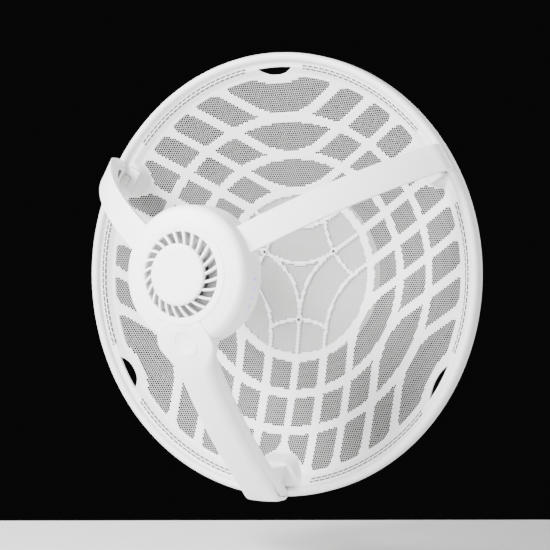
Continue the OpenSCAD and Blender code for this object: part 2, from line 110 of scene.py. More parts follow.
# radio housing
HUB_R = 58.0
HUB_FRONT = 150.0
SEAM_Z = 123.0  # seam between the front and the rear cover
DISC_R = 25.4
DISC_FRONT = 156.0
VENT_R = 36.2  # outer end of the slots
VENTS = 24
VENT_SWEEP = 12.0  # turn of a bar from its inner to its outer end
BAR_DEPTH = 4.6
LED_ANGLES = (-4.0, -11.8, -19.6, -27.4)
LED_Z = 128.0
LED_R = 1.75

# stage, in metres and degrees
CAMERA_AZ = 29.66
FLOOR_Z = -0.262


def bowl_z(r):
    """Height of the bowl's front face over the rim plane."""
    return r * r / FOCUS_K - BOWL_DEPTH


def circle_centre(ends, radius):
    """Centre of a circle through two points, on the side below their line."""
    a, b = Vector(ends[0]), Vector(ends[1])
    chord = (b - a).length
    normal = Vector((a.y - b.y, b.x - a.x)) / chord
    return (a + b) / 2 - normal * math.sqrt(radius**2 - (chord / 2) ** 2)


SIDE_C = circle_centre(SIDE_ENDS, SIDE_R)
LOW_C = circle_centre(LOW_ENDS, LOW_R)


def arm_z(centre, radius, r):
    """Height of an arm's circle at a radius from the dish axis."""
    return float(centre.y + math.sqrt(radius**2 - (r - centre.x) ** 2))


def dish_point(x, y, z):
    """A point in the dish's axes (right, up, forward, in mm) as a point of the frame in metres."""
    return Vector((DISH_X + x, RIM_Y - z, y)) * MM


def dish_array(p):
    """The same for an array of points."""
    p = np.asarray(p, float)
    return np.stack([DISH_X + p[:, 0], RIM_Y - p[:, 2], p[:, 1]], -1) * MM


# ---------------------------------------------------------------- materials
def material(name, colour, roughness, metallic=0.0, grain=0.0, grain_scale=900.0, mottle=0.0,
             mottle_scale=25.0, rough_var=0.0, coat=0.0, emission=None, sub=0.0):
    """A principled material with fine grain in its bump and slow drift in colour and roughness."""
    mat = bpy.data.materials.new(name)
    mat.use_nodes = True
    nt = mat.node_tree
    nodes, links = nt.nodes, nt.links
    bsdf = nodes["Principled BSDF"]
    bsdf.inputs["Base Color"].default_value = (*colour, 1)
    bsdf.inputs["Roughness"].default_value = roughness
    bsdf.inputs["Metallic"].default_value = metallic
    bsdf.inputs["Coat Weight"].default_value = coat
    if sub:
        bsdf.inputs["Subsurface Weight"].default_value = sub
        bsdf.inputs["Subsurface Radius"].default_value = (0.002, 0.002, 0.002)
    if emission:
        bsdf.inputs["Emission Color"].default_value = (*emission[:3], 1)
        bsdf.inputs["Emission Strength"].default_value = emission[3]
    coords = nodes.new("ShaderNodeTexCoord")
    if grain:
        noise = nodes.new("ShaderNodeTexNoise")
        noise.inputs["Scale"].default_value = grain_scale
        noise.inputs["Detail"].default_value = 3
        bump = nodes.new("ShaderNodeBump")
        bump.inputs["Strength"].default_value = grain
        bump.inputs["Distance"].default_value = 0.0002
        links.new(coords.outputs["Object"], noise.inputs["Vector"])
        links.new(noise.outputs["Fac"], bump.inputs["Height"])
        links.new(bump.outputs["Normal"], bsdf.inputs["Normal"])
    if mottle or rough_var:
        slow = nodes.new("ShaderNodeTexNoise")
        slow.inputs["Scale"].default_value = mottle_scale
        slow.inputs["Detail"].default_value = 4
        links.new(coords.outputs["Object"], slow.inputs["Vector"])
    if mottle:
        mix = nodes.new("ShaderNodeMix")
        mix.data_type = "RGBA"
        mix.inputs["A"].default_value = (*[c * (1 - mottle) for c in colour], 1)
        mix.inputs["B"].default_value = (*[min(1, c * (1 + mottle)) for c in colour], 1)
        links.new(slow.outputs["Fac"], mix.inputs["Factor"])
        links.new(mix.outputs["Result"], bsdf.inputs["Base Color"])
    if rough_var:
        span = nodes.new("ShaderNodeMapRange")
        span.inputs["To Min"].default_value = roughness - rough_var
        span.inputs["To Max"].default_value = roughness + rough_var
        links.new(slow.outputs["Fac"], span.inputs["Value"])
        links.new(span.outputs["Result"], bsdf.inputs["Roughness"])
    return mat


def brushed(name, colour, roughness):
    """Plated steel with fine drawn lines."""
    mat = material(name, colour, roughness, metallic=1.0)
    nt = mat.node_tree
    bsdf = nt.nodes["Principled BSDF"]
    coords = nt.nodes.new("ShaderNodeTexCoord")
    mapping = nt.nodes.new("ShaderNodeMapping")
    mapping.inputs["Scale"].default_value = (40.0, 900.0, 900.0)
    noise = nt.nodes.new("ShaderNodeTexNoise")
    noise.inputs["Scale"].default_value = 1.0
    noise.inputs["Detail"].default_value = 4
    span = nt.nodes.new("ShaderNodeMapRange")
    span.inputs["To Min"].default_value = roughness - 0.08
    span.inputs["To Max"].default_value = roughness + 0.12
    bump = nt.nodes.new("ShaderNodeBump")
    bump.inputs["Strength"].default_value = 0.25
    bump.inputs["Distance"].default_value = 0.0001
    link = nt.links.new
    link(coords.outputs["Object"], mapping.inputs["Vector"])
    link(mapping.outputs["Vector"], noise.inputs["Vector"])
    link(noise.outputs["Fac"], span.inputs["Value"])
    link(span.outputs["Result"], bsdf.inputs["Roughness"])
    link(noise.outputs["Fac"], bump.inputs["Height"])
    link(bump.outputs["Normal"], bsdf.inputs["Normal"])
    return mat


WHITE = (0.84, 0.84, 0.835)
MATS = {
    "shell": material("shell_white", WHITE, 0.42, grain=0.35, grain_scale=1600, mottle=0.012,
                      mottle_scale=18, rough_var=0.05),
    "sheet": material("sheet_coat", (0.63, 0.63, 0.625), 0.5, grain=0.3, grain_scale=1300),
    # mesh: the sheet's own coat made darker: painted shade in the pierced holes and on the vent bars' deep
    # sides
    "mesh": material("mesh_painted_shade", (0.44, 0.44, 0.435), 0.5, grain=0.3, grain_scale=1300),
    "rim": material("rim_coat", (0.65, 0.65, 0.645), 0.46, grain=0.3, grain_scale=1300, mottle=0.012,
                    mottle_scale=14, rough_var=0.05),
    # pad: the rim's own coat made darker: painted shade on the foot pads, the side arms' toes and the latch
    # tongues
    "pad": material("pad_painted_shade", (0.57, 0.57, 0.565), 0.5, grain=0.3, grain_scale=1300, mottle=0.012,
                    mottle_scale=14, rough_var=0.05),
    "bracket": material("bracket_coat", (0.44, 0.44, 0.435), 0.5, grain=0.8, grain_scale=700,
                        mottle=0.02, mottle_scale=30, rough_var=0.07),
    "steel": brushed("zinc_steel", (0.62, 0.61, 0.58), 0.34),
    "sink": material("sink_metal", (0.45, 0.45, 0.46), 0.5, metallic=0.6, grain=0.9, grain_scale=800,
                     mottle=0.06, rough_var=0.08),
    "board": material("board_mask", (0.02, 0.12, 0.05), 0.35, grain=0.3, grain_scale=500, mottle=0.2,
                      mottle_scale=220, coat=0.3),
    "laminate": material("antenna_laminate", (0.42, 0.34, 0.18), 0.4, grain=0.2, mottle=0.08,
                         mottle_scale=300),
    "lens": material("lens_plastic", (0.82, 0.82, 0.80), 0.3, grain=0.1, mottle=0.01, sub=0.1),
    "rubber": material("seal_rubber", (0.025, 0.025, 0.025), 0.7, grain=0.6, grain_scale=1100,
                       mottle=0.15, rough_var=0.08),
    "led": material("led_lens", (0.38, 0.42, 0.90), 0.25, coat=0.5, mottle=0.08, mottle_scale=700,
                    emission=(0.35, 0.4, 1.0, 0.35)),
    "black": material("black_plastic", (0.02, 0.02, 0.022), 0.45, grain=0.5, grain_scale=1200,
                      mottle=0.1, rough_var=0.06),
    "shade": material("vent_shade", (0.28, 0.28, 0.28), 0.6, grain=0.4, mottle=0.05),
    "recess": material("recess_dark", (0.03, 0.03, 0.032), 0.6, grain=0.4, mottle=0.1),
}


# ---------------------------------------------------------------- mesh helpers
def new_object(name, verts, faces, mat):
    """An object from vertices in metres and faces."""
    mesh = bpy.data.meshes.new(name)
    mesh.from_pydata([tuple(v) for v in verts], [], [tuple(f) for f in faces])
    mesh.update()
    obj = bpy.data.objects.new(name, mesh)
    bpy.context.scene.collection.objects.link(obj)
    mesh.materials.append(mat)
    return obj


def fast_object(name, verts, loops, sizes, mat):
    """An object from flat numpy arrays, for very large meshes."""
    mesh = bpy.data.meshes.new(name)
    mesh.vertices.add(len(verts))
    mesh.vertices.foreach_set("co", np.ascontiguousarray(verts, np.float32).ravel())
    mesh.loops.add(len(loops))
    mesh.loops.foreach_set("vertex_index", loops.astype(np.int32))
    starts = np.concatenate([[0], np.cumsum(sizes)[:-1]]).astype(np.int32)
    mesh.polygons.add(len(sizes))
    mesh.polygons.foreach_set("loop_start", starts)
    mesh.update(calc_edges=True)
    mesh.validate()
    mesh.shade_flat()
    obj = bpy.data.objects.new(name, mesh)
    bpy.context.scene.collection.objects.link(obj)
    mesh.materials.append(mat)
    return obj


def shade(obj, angle):
    """Smooth shading with edges sharper than the angle kept crisp."""
    mesh = obj.data
    mesh.polygons.foreach_set("use_smooth", [True] * len(mesh.polygons))
    mesh.set_sharp_from_angle(angle=math.radians(angle))


def apply_all(obj):
    """Bakes an object's modifiers into its mesh."""
    graph = bpy.context.evaluated_depsgraph_get()
    mesh = bpy.data.meshes.new_from_object(obj.evaluated_get(graph))
    old = obj.data
    obj.modifiers.clear()
    obj.data = mesh
    bpy.data.meshes.remove(old)


def bevel(obj, width, segments=3, angle=35.0):
    """Rounds an object's edges by a width in millimetres and applies it."""
    mod = obj.modifiers.new("bevel", "BEVEL")
    mod.width = width * MM
    mod.segments = segments
    mod.limit_method = "ANGLE"
    mod.angle_limit = math.radians(angle)
    apply_all(obj)
    shade(obj, 40)


def cut(obj, cutter, colour="INDEX"):
    """Takes a cutter's volume away from an object; TRANSFER leaves the cutter's colour on the cut faces."""
    mod = obj.modifiers.new("cut", "BOOLEAN")
    mod.operation = "DIFFERENCE"
    mod.solver = "EXACT"
    mod.material_mode = colour
    mod.object = cutter
    apply_all(obj)
    bpy.data.objects.remove(cutter)


def revolve(name, profile, mat, segments=192, smooth=35, at=(0, 0)):
    """A closed solid of revolution about the dish axis; profile is a list of radius and height."""
    profile = np.asarray(profile, float)
    n = len(profile)
    angles = np.linspace(0, 2 * math.pi, segments, endpoint=False)
    on_axis = profile[:, 0] < 1e-6
    index = np.zeros((segments, n), int)
    verts = []
    for j in range(n):
        if on_axis[j]:
            index[:, j] = len(verts)
            verts.append((at[0], at[1], profile[j, 1]))
        else:
            index[:, j] = len(verts) + np.arange(segments)
            verts += [(at[0] + profile[j, 0] * math.cos(a), at[1] + profile[j, 0] * math.sin(a),
                       profile[j, 1]) for a in angles]
    faces = []
    for j in range(n):
        k = (j + 1) % n
        if on_axis[j] and on_axis[k]:
            continue
        for i in range(segments):
            m = (i + 1) % segments
            ring = [index[i, j], index[i, k], index[m, k], index[m, j]]
            face = list(dict.fromkeys(ring))
            if len(face) > 2:
                faces.append(face)
    obj = new_object(name, dish_array(verts), faces, mat)
    fix_normals(obj)
    shade(obj, smooth)
    return obj


def fix_normals(obj):
    """Turns every face outward."""
    bm = bmesh.new()
    bm.from_mesh(obj.data)
    bmesh.ops.recalc_face_normals(bm, faces=bm.faces)
    bm.to_mesh(obj.data)
    bm.free()


def arc(c, r, a0, a1, n):
    """Points of an arc about a centre."""
    return [(c[0] + r * math.cos(math.radians(a0 + (a1 - a0) * i / n)),
             c[1] + r * math.sin(math.radians(a0 + (a1 - a0) * i / n))) for i in range(n + 1)]


def spline(points, steps):
    """Points of a smooth curve through the given ones."""
    p = [np.asarray(q, float) for q in points]
    p = [2 * p[0] - p[1]] + p + [2 * p[-1] - p[-2]]
    out = []
    for k in range(1, len(p) - 2):
        for t in np.linspace(0, 1, steps, endpoint=False):
            out.append(0.5 * (2 * p[k] + (p[k + 1] - p[k - 1]) * t
                              + (2 * p[k - 1] - 5 * p[k] + 4 * p[k + 1] - p[k + 2]) * t * t
                              + (3 * p[k] - p[k - 1] - 3 * p[k + 1] + p[k + 2]) * t**3))
    out.append(p[-2])
    return np.array(out)


def prism(name, outline, z0, z1, mat, place=None):
    """A polygon extruded along z; place turns its points into dish axes."""
    n = len(outline)
    pts = [(x, y, z0) for x, y in outline] + [(x, y, z1) for x, y in outline]
    if place:
        pts = [place(*p) for p in pts]
    faces = [list(range(n))[::-1], list(range(n, 2 * n))]
    faces += [[i, (i + 1) % n, n + (i + 1) % n, n + i] for i in range(n)]
    obj = new_object(name, dish_array(pts), faces, mat)
    fix_normals(obj)
    return obj


def loft(name, rings, mat):
    """A closed solid through rings of points in dish axes, each with as many points."""
    n, m = len(rings), len(rings[0])
    faces = [(i * m + j, i * m + (j + 1) % m, (i + 1) * m + (j + 1) % m, (i + 1) * m + j)
             for i in range(n - 1) for j in range(m)]
    faces += [list(range(m)), list(range((n - 1) * m, n * m))]
    obj = new_object(name, dish_array([p for ring in rings for p in ring]), faces, mat)
    fix_normals(obj)
    return obj


def plate(name, rows, thickness, mat):
    """A thin shell behind the face that rows of points in dish axes make; the face looks to the front."""
    n, m = len(rows), len(rows[0])
    faces = [(i * m + j, i * m + j + 1, (i + 1) * m + j + 1, (i + 1) * m + j)
             for i in range(n - 1) for j in range(m - 1)]
    obj = new_object(name, dish_array([p for row in rows for p in row]), faces, mat)
    fix_normals(obj)
    if obj.data.polygons[(n // 2) * (m - 1) + m // 2].normal.y > 0:
        obj.data.flip_normals()
    solid = obj.modifiers.new("solid", "SOLIDIFY")
    solid.thickness = thickness * MM
    solid.offset = -1
    apply_all(obj)
    return obj


def ball_object(name, centre, radius, mat, segments=32, squash=(1, 1, 1), tip=0.0):
    """A ball at a point in dish axes, flattened and then tipped about x if asked."""
    rings = segments // 2
    verts = []
    for i in range(1, rings):
        level, width = math.cos(math.pi * i / rings), math.sin(math.pi * i / rings)
        verts += [(width * math.cos(a), width * math.sin(a), level)
                  for a in np.linspace(0, 2 * math.pi, segments, endpoint=False)]
    top, low = len(verts), len(verts) + 1
    verts += [(0, 0, 1), (0, 0, -1)]
    last = (rings - 2) * segments
    faces = []
    for k in range(segments):
        m = (k + 1) % segments
        faces += [(top, k, m), (low, last + m, last + k)]
        faces += [(i + k, i + segments + k, i + segments + m, i + m) for i in range(0, last, segments)]
    shape = Matrix.Rotation(tip, 3, "X") @ Matrix.Diagonal(squash) * (radius * MM)
    obj = new_object(name, [shape @ Vector(v) + dish_point(*centre) for v in verts], faces, mat)
    shade(obj, 60)
    return obj


def turned(angle):
    """A function that turns a point about the dish axis."""
    c, s = math.cos(math.radians(angle)), math.sin(math.radians(angle))
    return lambda x, y, z: (c * x - s * y, s * x + c * y, z)


def side_place(angle):
    """Maps an arm's side view (radius, height, width) to dish axes at an angle."""
    turn = turned(angle)
    return lambda r, h, w: turn(r, w, h)


def join(name, objects):
    """Joins objects into the first and names it."""
    with bpy.context.temp_override(active_object=objects[0], selected_editable_objects=objects):
        bpy.ops.object.join()
    objects[0].name = name
    objects[0].data.name = name
    return objects[0]


def own(obj, body, slot, *nodes):
    """Puts a piece on its body and hides the CAD nodes that it stands for; the finish slot is not used."""
    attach(obj, body)
    if nodes:
        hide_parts(*nodes)
    return obj


# ---------------------------------------------------------------- perforated reflector
def folded(x, y):
    """Folds points onto one sixth of the dish: u runs along a D-shaped hole's axis, v away from it."""
    a = np.degrees(np.arctan2(y, x))
    a = (a - HOLE_AXES[0] + 60) % 120 - 60
    r = np.hypot(x, y)
    a = np.radians(np.abs(a))
    return r * np.cos(a), r * np.sin(a)


def smile(u, v, k):
    """Distance to the k-th pair of ribs, which meet on a hole's axis in a round bend."""
    line = np.abs(u * math.sin(math.radians(60)) - v * 0.5 - RIB_STEP * k)
    centre = (RIB_STEP * k + FILLET_R) / math.sin(math.radians(60))
    du = centre - u
    bend = np.abs(np.hypot(du, v) - FILLET_R)
    return np.where((du > 0) & (v <= du * math.tan(math.radians(30))), bend, line)


def rib_gap(x, y):
    """Distance from the nearest solid strip of the reflector; negative inside a strip."""
    u, v = folded(x, y)
    r = np.hypot(x, y)
    a = np.degrees(np.arctan2(v, u))
    w = r * np.sin(np.radians(60 - a))
    along = r * np.cos(np.radians(60 - a))
    inner = r < RINGS[0]
    d = np.where(inner, 1e9, np.abs(w) - STRIP_HALF)
    for k in (2, 3, 4):
        d = np.minimum(d, smile(u, v, k) - STRIP_HALF)
    for ring in RINGS:
        d = np.minimum(d, np.abs(r - ring) - STRIP_HALF)
    d = np.minimum(d, smile(u, v, 1) - np.where(inner, FINE_HALF + 0.1, STRIP_HALF))
    d = np.minimum(d, np.where(inner, smile(u, v, 0) - FINE_HALF, 1e9))
    # short bows through the three screws, and a boss round each
    bow = np.abs(np.hypot(along - SCREW_RING_R - BOW_R, w) - BOW_R) - (FINE_HALF - 0.1)
    d = np.minimum(d, np.where((np.abs(w) < RIB_STEP) & (r < 62), bow, 1e9))
    d = np.minimum(d, np.hypot(along - SCREW_RING_R, w) - BOSS_R)
    # outer edge, lobes round the three holes, and the foot pads
    edge = np.minimum(FIELD_R - r, np.hypot(u - LOBE_AT, v) - LOBE_R)
    bottom = (y < 0) & (np.abs(x) < 0.6 * r)
    edge = np.minimum(edge, -pad_depth(along, w, bottom))
    both = np.stack([edge, d])
    low, high = both.min(0), both.max(0)
    # rounded corners where the strips meet the outer edge
    corner = np.where(high < CORNER_R, CORNER_R - np.hypot(CORNER_R - low, CORNER_R - high), low)
    return np.where((r > 150) & (low > 0) & (edge < CORNER_R * 1.5), np.minimum(low, corner), low)


def pad_depth(along, across, bottom):
    """Depth inside a foot pad's outline: round at the side feet, flared at the bottom one."""
    disc = PAD_R - np.hypot(along - PAD_AT, across)
    return np.where(bottom, (along - flared_edge(across)) * 0.9, disc)


def flared_edge(across):
    """Inner edge of the bottom pad, as a radius, at a distance across."""
    return np.interp(np.abs(across), (0, 10, 15, 18.5, 31, 60), (162.3, 162.4, 164.2, 167.5, 190, 230))


def rib_rise(x, y):
    """How far the solid strips stand proud of the pierced sheet."""
    t = np.clip((RIB_EDGE * 0.5 - rib_gap(x, y)) / RIB_EDGE, 0, 1)
    return RIB_RISE * t * t * (3 - 2 * t)


def sheet_cells():
    """Centres of the sheet's six-sided cells, and which of them are pierced."""
    row = PITCH * math.sqrt(3) / 2
    n = int(SHEET_R / PITCH) + 3
    m = int(SHEET_R / row) + 3
    jj, ii = np.meshgrid(np.arange(-m, m + 1), np.arange(-n, n + 1), indexing="ij")
    x, y = ((ii + 0.5 * (jj % 2)) * PITCH).ravel(), (jj * row).ravel()
    keep = np.hypot(x, y) < SHEET_R - 0.2
    x, y = x[keep], y[keep]
    holed = rib_gap(x, y) > 0.1
    for foot in FEET:
        screw_x, screw_y, _ = turned(foot)(SCREW_RING_R, 0, 0)
        holed &= np.hypot(x - screw_x, y - screw_y) > BOSS_R - 0.2
    return x, y, holed


def build_sector(name, x, y, holed):
    """One sector of the sheet: its cells with a six-sided hole in each pierced one."""
    count = len(x)
    corner = np.radians(30 + 60 * np.arange(6))
    cell_r = PITCH / math.sqrt(3)
    cell_x, cell_y = x[:, None] + cell_r * np.cos(corner), y[:, None] + cell_r * np.sin(corner)
    hole_x, hole_y = x[:, None] + HOLE_R * np.cos(corner), y[:, None] + HOLE_R * np.sin(corner)
    # corners are shared between cells
    key = np.round(np.stack([cell_x.ravel(), cell_y.ravel()], -1) / 0.01).astype(np.int64)
    _, first, shared = np.unique(key, axis=0, return_index=True, return_inverse=True)
    shared = shared.reshape(count, 6)
    px = np.concatenate([cell_x.ravel()[first], hole_x[holed].ravel()])
    py = np.concatenate([cell_y.ravel()[first], hole_y[holed].ravel()])
    face = bowl_z(np.hypot(px, py))
    verts = np.concatenate([np.stack([px, py, face + rib_rise(px, py)], -1),
                            np.stack([px, py, face - SHEET_T], -1)])
    total = len(px)
    hole_id = len(first) + np.arange(int(holed.sum()) * 6).reshape(-1, 6)
    outer, plain = shared[holed], shared[~holed]
    nxt = (np.arange(6) + 1) % 6
    webs = np.stack([outer, outer[:, nxt], hole_id[:, nxt], hole_id], -1).reshape(-1, 4)
    walls = np.stack([hole_id, hole_id[:, nxt], hole_id[:, nxt] + total, hole_id + total], -1).reshape(-1, 4)
    # the sector's own border gets an edge wall
    sides = np.concatenate([outer, plain])
    edges = np.stack([sides, sides[:, nxt]], -1).reshape(-1, 2)
    _, where, counts = np.unique(np.sort(edges, 1), axis=0, return_index=True, return_counts=True)
    rim = edges[where[counts == 1]]
    skirt = np.stack([rim[:, 1], rim[:, 0], rim[:, 0] + total, rim[:, 1] + total], -1)
    loops = np.concatenate([webs.ravel(), (webs[:, ::-1] + total).ravel(), walls.ravel(), skirt.ravel(),
                            plain.ravel(), (plain[:, ::-1] + total).ravel()])
    pierced = 2 * len(webs) + len(walls)
    sizes = np.concatenate([np.full(pierced + len(skirt), 4), np.full(2 * len(plain), 6)])
    obj = fast_object(name, dish_array(verts), loops, sizes, MATS["sheet"])
    # the pierced cells' webs and hole walls take the darker mesh grey: painted shade of the holes
    obj.data.materials.append(MATS["mesh"])
    obj.data.polygons.foreach_set("material_index", (np.arange(len(sizes)) < pierced).astype(np.int32))
    return obj


def build_sheet():
    """The pierced bowl, in equal sectors."""
    x, y, holed = sheet_cells()
    sector = ((np.degrees(np.arctan2(y, x)) + 360) % 360 // (360 / SECTORS)).astype(int)
    return [build_sector(f"reflector_sheet_{k + 1}", x[sector == k], y[sector == k], holed[sector == k])
            for k in range(SECTORS)]


def ring_depth(r, a):
    """Depth of the short pressed dashes in the flange, at a radius and an angle in degrees."""
    depth = np.zeros_like(r)
    fold = np.abs((a - HOLE_AXES[0] + 60) % 120 - 60)
    clear = (fold > 9) & (fold < 49)
    for row_r, phase in zip(DASH_ROWS, (0.0, 0.5)):
        beat = (a / DASH_STEP + phase) % 1
        on = (np.abs(r - row_r) < DASH_HALF) & (beat < 0.68) & clear
        depth = np.where(on, DASH_DEPTH, depth)
    return depth


def rim_profile():
    """The flange and rolled rim in section: points of the front face, then of the bead and the back."""
    lip_in = RIM_R - 9.0
    face = [(r, bowl_z(r) + RIB_RISE) for r in (179.6, 181.0, 182.4)]
    rows = [183.2, 184.6, 185.6, 185.85, 186.0, 186.6, 187.2, 187.35, 187.6, 188.1, 188.25, 188.4,
            189.0, 189.6, 189.75, 190.3]
    face += [(r, np.interp(r, (182.4, 187, lip_in), (bowl_z(182.4) + RIB_RISE, -6.3, -5.2))) for r in rows]
    face += [(lip_in, -5.1), (192.0, -4.4), (192.7, -3.5)]
    bead = arc((RIM_R - 3.9, -3.9), 3.85, 172, 0, 14)
    back = [(RIM_R - 0.05, -11.4), (RIM_R - 0.5, -11.9), (RIM_R - 1.4, -11.9), (RIM_R - 1.9, -11.2),
            (RIM_R - 2.0, -7.4), (lip_in - 1, -7.8), (187, -8.9), (183, bowl_z(183) - 1.4),
            (179.6, bowl_z(179.6) - 1.3)]
    return face, bead + back


def build_rim():
    """The smooth flange and rolled rim, with the three D-shaped holes cut through it."""
    segments = 1440
    face, behind = rim_profile()
    profile = np.asarray(face + behind, float)
    n = len(profile)
    a = np.linspace(0, 360, segments, endpoint=False)
    rr = np.repeat(profile[None, :, 0], segments, 0)
    zz = np.repeat(profile[None, :, 1], segments, 0)
    aa = np.repeat(a[:, None], n, 1)
    zz = zz - ring_depth(rr, aa) * (np.arange(n) < len(face))[None]
    x, y = rr * np.cos(np.radians(aa)), rr * np.sin(np.radians(aa))
    verts = np.stack([x.ravel(), y.ravel(), zz.ravel()], -1)
    i, j = np.meshgrid(np.arange(segments), np.arange(n), indexing="ij")
    i2, j2 = (i + 1) % segments, (j + 1) % n
    quads = np.stack([i * n + j, i2 * n + j, i2 * n + j2, i * n + j2], -1).reshape(-1, 4)
    obj = fast_object("reflector_rim", dish_array(verts), quads.ravel(), np.full(len(quads), 4), MATS["rim"])
    # the dashes' floors and walls take the dark vent_shade grey: painted shade in the dashes
    obj.data.materials.append(MATS["shade"])
    sunk = ring_depth(rr, aa).ravel()[quads].max(1) > 1
    sunk &= (quads[:, 3] % n < len(face)) & (quads[:, 0] % n < len(face))
    obj.data.polygons.foreach_set("material_index", sunk.astype(np.int32))
    for axis in HOLE_AXES:
        steps = np.linspace(-0.96, 0.96, 33)
        inner = [(180.9 + 5.4 * abs(t) ** 2.2, 17.6 * t) for t in steps]
        outer = [(187.5 - 1.0 * t * t, 17.6 * t) for t in steps[::-1]]
        cutter = prism("hole_cutter", inner + outer, -30, 20, MATS["recess"], turned(axis))
        cut(obj, cutter)
    shade(obj, 32)
    return obj


def build_pad(name, angle):
    """A foot pad: a low plateau that grows out of the bowl's edge."""
    bottom = angle == FEET[2]
    nr, nw = 44, 66
    half = 30.0 if bottom else PAD_R - 0.3
    w = np.linspace(-half, half, nw)
    if bottom:
        start = flared_edge(w) + np.interp(np.abs(w), (18.5, 31), (0.2, 0))
    else:
        start = PAD_AT - np.sqrt((PAD_R - 0.2) ** 2 - w * w)
    end = np.sqrt(191.3**2 - w * w)
    R = start + (end - start) * np.linspace(0, 1, nr)[:, None]
    W = np.repeat(w[None], nr, 0)
    rad = np.hypot(R, W)
    base = np.where(rad < 183, bowl_z(rad) + RIB_RISE,
                    np.interp(rad, (183, 187, 192), (bowl_z(183) + RIB_RISE, -6.3, -5.2)))
    rise = np.clip(pad_depth(R, W, bottom) / 6.5, 0, 1)
    blend = rise * rise * (3 - 2 * rise)
    top = base - 0.05 + np.maximum(PAD_TOP - base, 0) * blend
    if bottom:
        # the pad sweeps up to the lower arm's sides in a hollow curve
        reach = np.clip((28.5 - np.abs(W)) / 15.0, 0, 1)
        climb = np.clip((R - 163.0) / 24.0, 0, 1)
        ends = climb**2 * (3 - 2 * climb) * np.clip((191.3 - R) / 1.5, 0, 1)
        top = top + SWEEP_RISE * (1 - np.sqrt(1 - reach**2 * 0.98)) * ends
    low = base - 1.6
    pts = np.concatenate([np.stack([R.ravel(), W.ravel(), top.ravel()], -1),
                          np.stack([R.ravel(), W.ravel(), low.ravel()], -1)])
    verts = dish_array(np.stack(turned(angle)(*pts.T), -1))
    total = nr * nw
    i, j = np.meshgrid(np.arange(nr - 1), np.arange(nw - 1), indexing="ij")
    q = np.stack([i * nw + j, (i + 1) * nw + j, (i + 1) * nw + j + 1, i * nw + j + 1], -1).reshape(-1, 4)
    border = ([k for k in range(nw)] + [k * nw + nw - 1 for k in range(1, nr)]
              + [(nr - 1) * nw + k for k in range(nw - 2, -1, -1)] + [k * nw for k in range(nr - 2, 0, -1)])
    walls = [[border[k], border[k - 1], border[k - 1] + total, border[k] + total] for k in range(len(border))]
    # the pad grey is darker than the rim: painted shade on the pad
    obj = new_object(name, verts, q.tolist() + (q[:, ::-1] + total).tolist() + walls, MATS["pad"])
    fix_normals(obj)
    shade(obj, 50)
    return obj


for piece in build_sheet():
    own(piece, "dish_head", "dish_coat", "reflector_dish")
own(build_rim(), "dish_head", "dish_coat", "reflector_dish")
for number, foot in enumerate(FEET):
    own(build_pad(f"foot_pad_{number + 1}", foot), "dish_head", "dish_coat", "reflector_dish")


# ---------------------------------------------------------------- arms
def side_sections():
    """Outer and inner points of a side arm's bar and leg, as pairs of radius and height."""
    pairs = []
    for r in np.linspace(50, 194, 60):
        outer = Vector((r, arm_z(SIDE_C, SIDE_R, r)))
        pairs.append((outer, outer + (SIDE_C - outer).normalized() * ARM_T))
    elbow = ((196.8, 15.2), (198.7, 12.2), (199.7, 8.6), (199.8, 4.0), (199.8, 0.3))
    leg = ((LEG_IN, 10.2), (LEG_IN, 8.0), (LEG_IN, 5.0), (LEG_IN, 2.5), (LEG_IN, 0.3))
    return pairs + [(Vector(a), Vector(b)) for a, b in zip(elbow, leg)]


def housing_cutter():
    """The radio housing's outer shape, grown a little, for trimming the arms."""
    grow = 0.15
    profile = [(0, 90), (20, 96), (HUB_R - 9 + grow, SEAM_Z - 13.2), (HUB_R + grow, SEAM_Z - 4.2),
               (HUB_R + grow, 200), (0, 200)]
    return revolve("housing_cutter", profile, MATS["recess"], 128)


def build_side_arm(name, angle):
    """A side arm: a curved bar with round edges, whose leg stands on the rim and toe on the pad."""
    place = side_place(angle)
    low = SIDE_HALF - TAPER
    rings = []
    for outer, inner in side_sections():
        edge = outer.lerp(inner, 0.34)
        corners = ((outer, -SIDE_HALF), (outer, SIDE_HALF), (edge, SIDE_HALF), (inner, low), (inner, -low),
                   (edge, -SIDE_HALF))
        rings.append([place(p.x, p.y, w) for p, w in corners])
    bar = loft(name, rings, MATS["shell"])
    cut(bar, housing_cutter())
    bevel(bar, 1.6, 4, 40)
    slot = [p for w, z, a in ((2.0, 6.6, -90), (2.0, 11.8, 0), (-3.6, 11.8, 90), (-3.6, 6.6, 180))
            for p in arc((w, z), 2.4, a, a + 90, 6)]
    # the slot's cut faces take the dark vent_shade grey: painted shade inside the slot
    cutter = prism("slot_cutter", slot, 180, 192.5, MATS["shade"], lambda w, z, r: place(r, z, w))
    cut(bar, cutter, "TRANSFER")
    shade(bar, 40)
    toe = [(FOOT_IN, PAD_TOP + 0.1), (190.6, PAD_TOP + 0.1), (190.6, 4.0), (LEG_IN + 0.3, 4.0),
           (LEG_IN + 0.3, TOE_TOP), (FOOT_IN, TOE_TOP)]
    # the toe takes the darker pad grey: painted shade
    toe = prism("toe", toe, -SIDE_HALF + 0.6, SIDE_HALF - 0.6, MATS["pad"], place)
    bevel(toe, 1.5, 4, 40)
    return join(name, [bar, toe])


